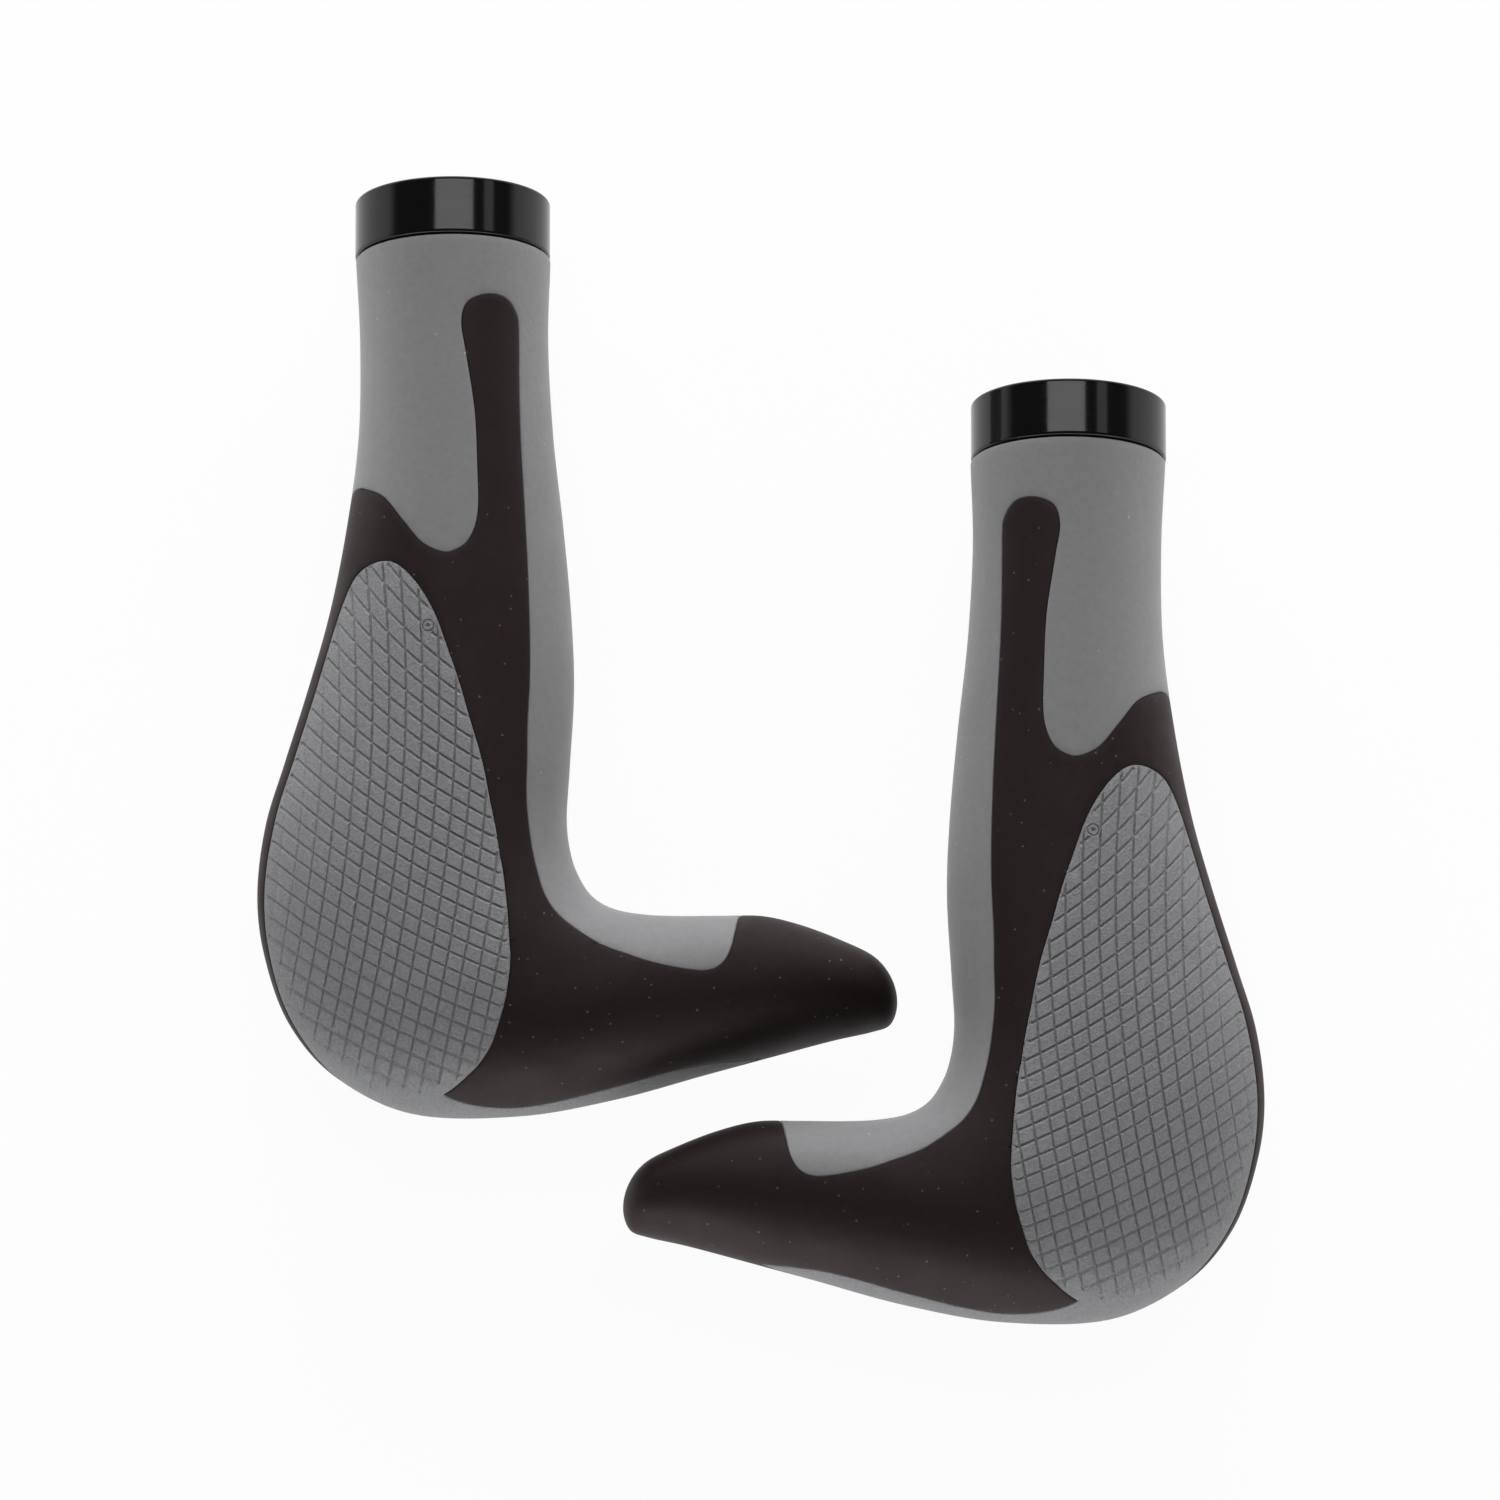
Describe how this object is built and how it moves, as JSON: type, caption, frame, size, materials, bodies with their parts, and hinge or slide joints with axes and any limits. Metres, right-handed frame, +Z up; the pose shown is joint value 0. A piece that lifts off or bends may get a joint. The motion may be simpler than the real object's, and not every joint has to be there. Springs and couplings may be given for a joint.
{
  "type": "bar end grips",
  "caption": "Pair of ergonomic lock-on handlebar grips with winged palm pads, moulded bar ends and split clamp collars.",
  "frame": {"origin": "middle of the pair's footprint, on the surface that the grips lie on", "axes": "+Y inboard along both bar axes, +X from the left grip to the right grip, +Z up, the way the palm pads face"},
  "size_m": [0.164, 0.1898, 0.032],
  "materials": {
    "core_nylon": "glass-filled nylon",
    "grey_rubber": "smooth satin, firm grey rubber",
    "black_rubber": "smooth satin, soft warm black rubber",
    "pad_rubber": "satin grey rubber with cross-hatched grooves",
    "black_anodised": "gloss black anodised",
    "bolt_steel": "zinc-plated"
  },
  "bodies": {
    "left_grip": {"left_core": "core_nylon", "left_grey_sleeve": "grey_rubber", "left_black_overmould": "black_rubber", "left_palm_pad": "pad_rubber"},
    "left_collar": {"left_clamp_collar": "black_anodised"},
    "left_bolt": {"left_clamp_bolt": "bolt_steel"},
    "right_grip": {"right_core": "core_nylon", "right_grey_sleeve": "grey_rubber", "right_black_overmould": "black_rubber", "right_palm_pad": "pad_rubber"},
    "right_collar": {"right_clamp_collar": "black_anodised"},
    "right_bolt": {"right_clamp_bolt": "bolt_steel"}
  },
  "joints": [
    {"name": "left_collar_slide", "type": "slide", "parent": "left_grip", "child": "left_collar", "axis": [0, 1, 0], "range_m": [0, 0.02]},
    {"name": "left_bolt_turn", "type": "hinge", "parent": "left_collar", "child": "left_bolt", "pos_m": [-0.04124, 0.09008, 0.0049], "axis": [0.9397, 0, 0.342], "range_deg": [0, 720]},
    {"name": "right_grip_lift", "type": "slide", "parent": "left_grip", "child": "right_grip", "axis": [0, 0, 1], "range_m": [0, 0.1]},
    {"name": "right_collar_slide", "type": "slide", "parent": "right_grip", "child": "right_collar", "axis": [0, 1, 0], "range_m": [0, 0.02]},
    {"name": "right_bolt_turn", "type": "hinge", "parent": "right_collar", "child": "right_bolt", "pos_m": [0.04124, 0.05548, 0.0049], "axis": [-0.9397, 0, 0.342], "range_deg": [0, 720]}
  ]
}
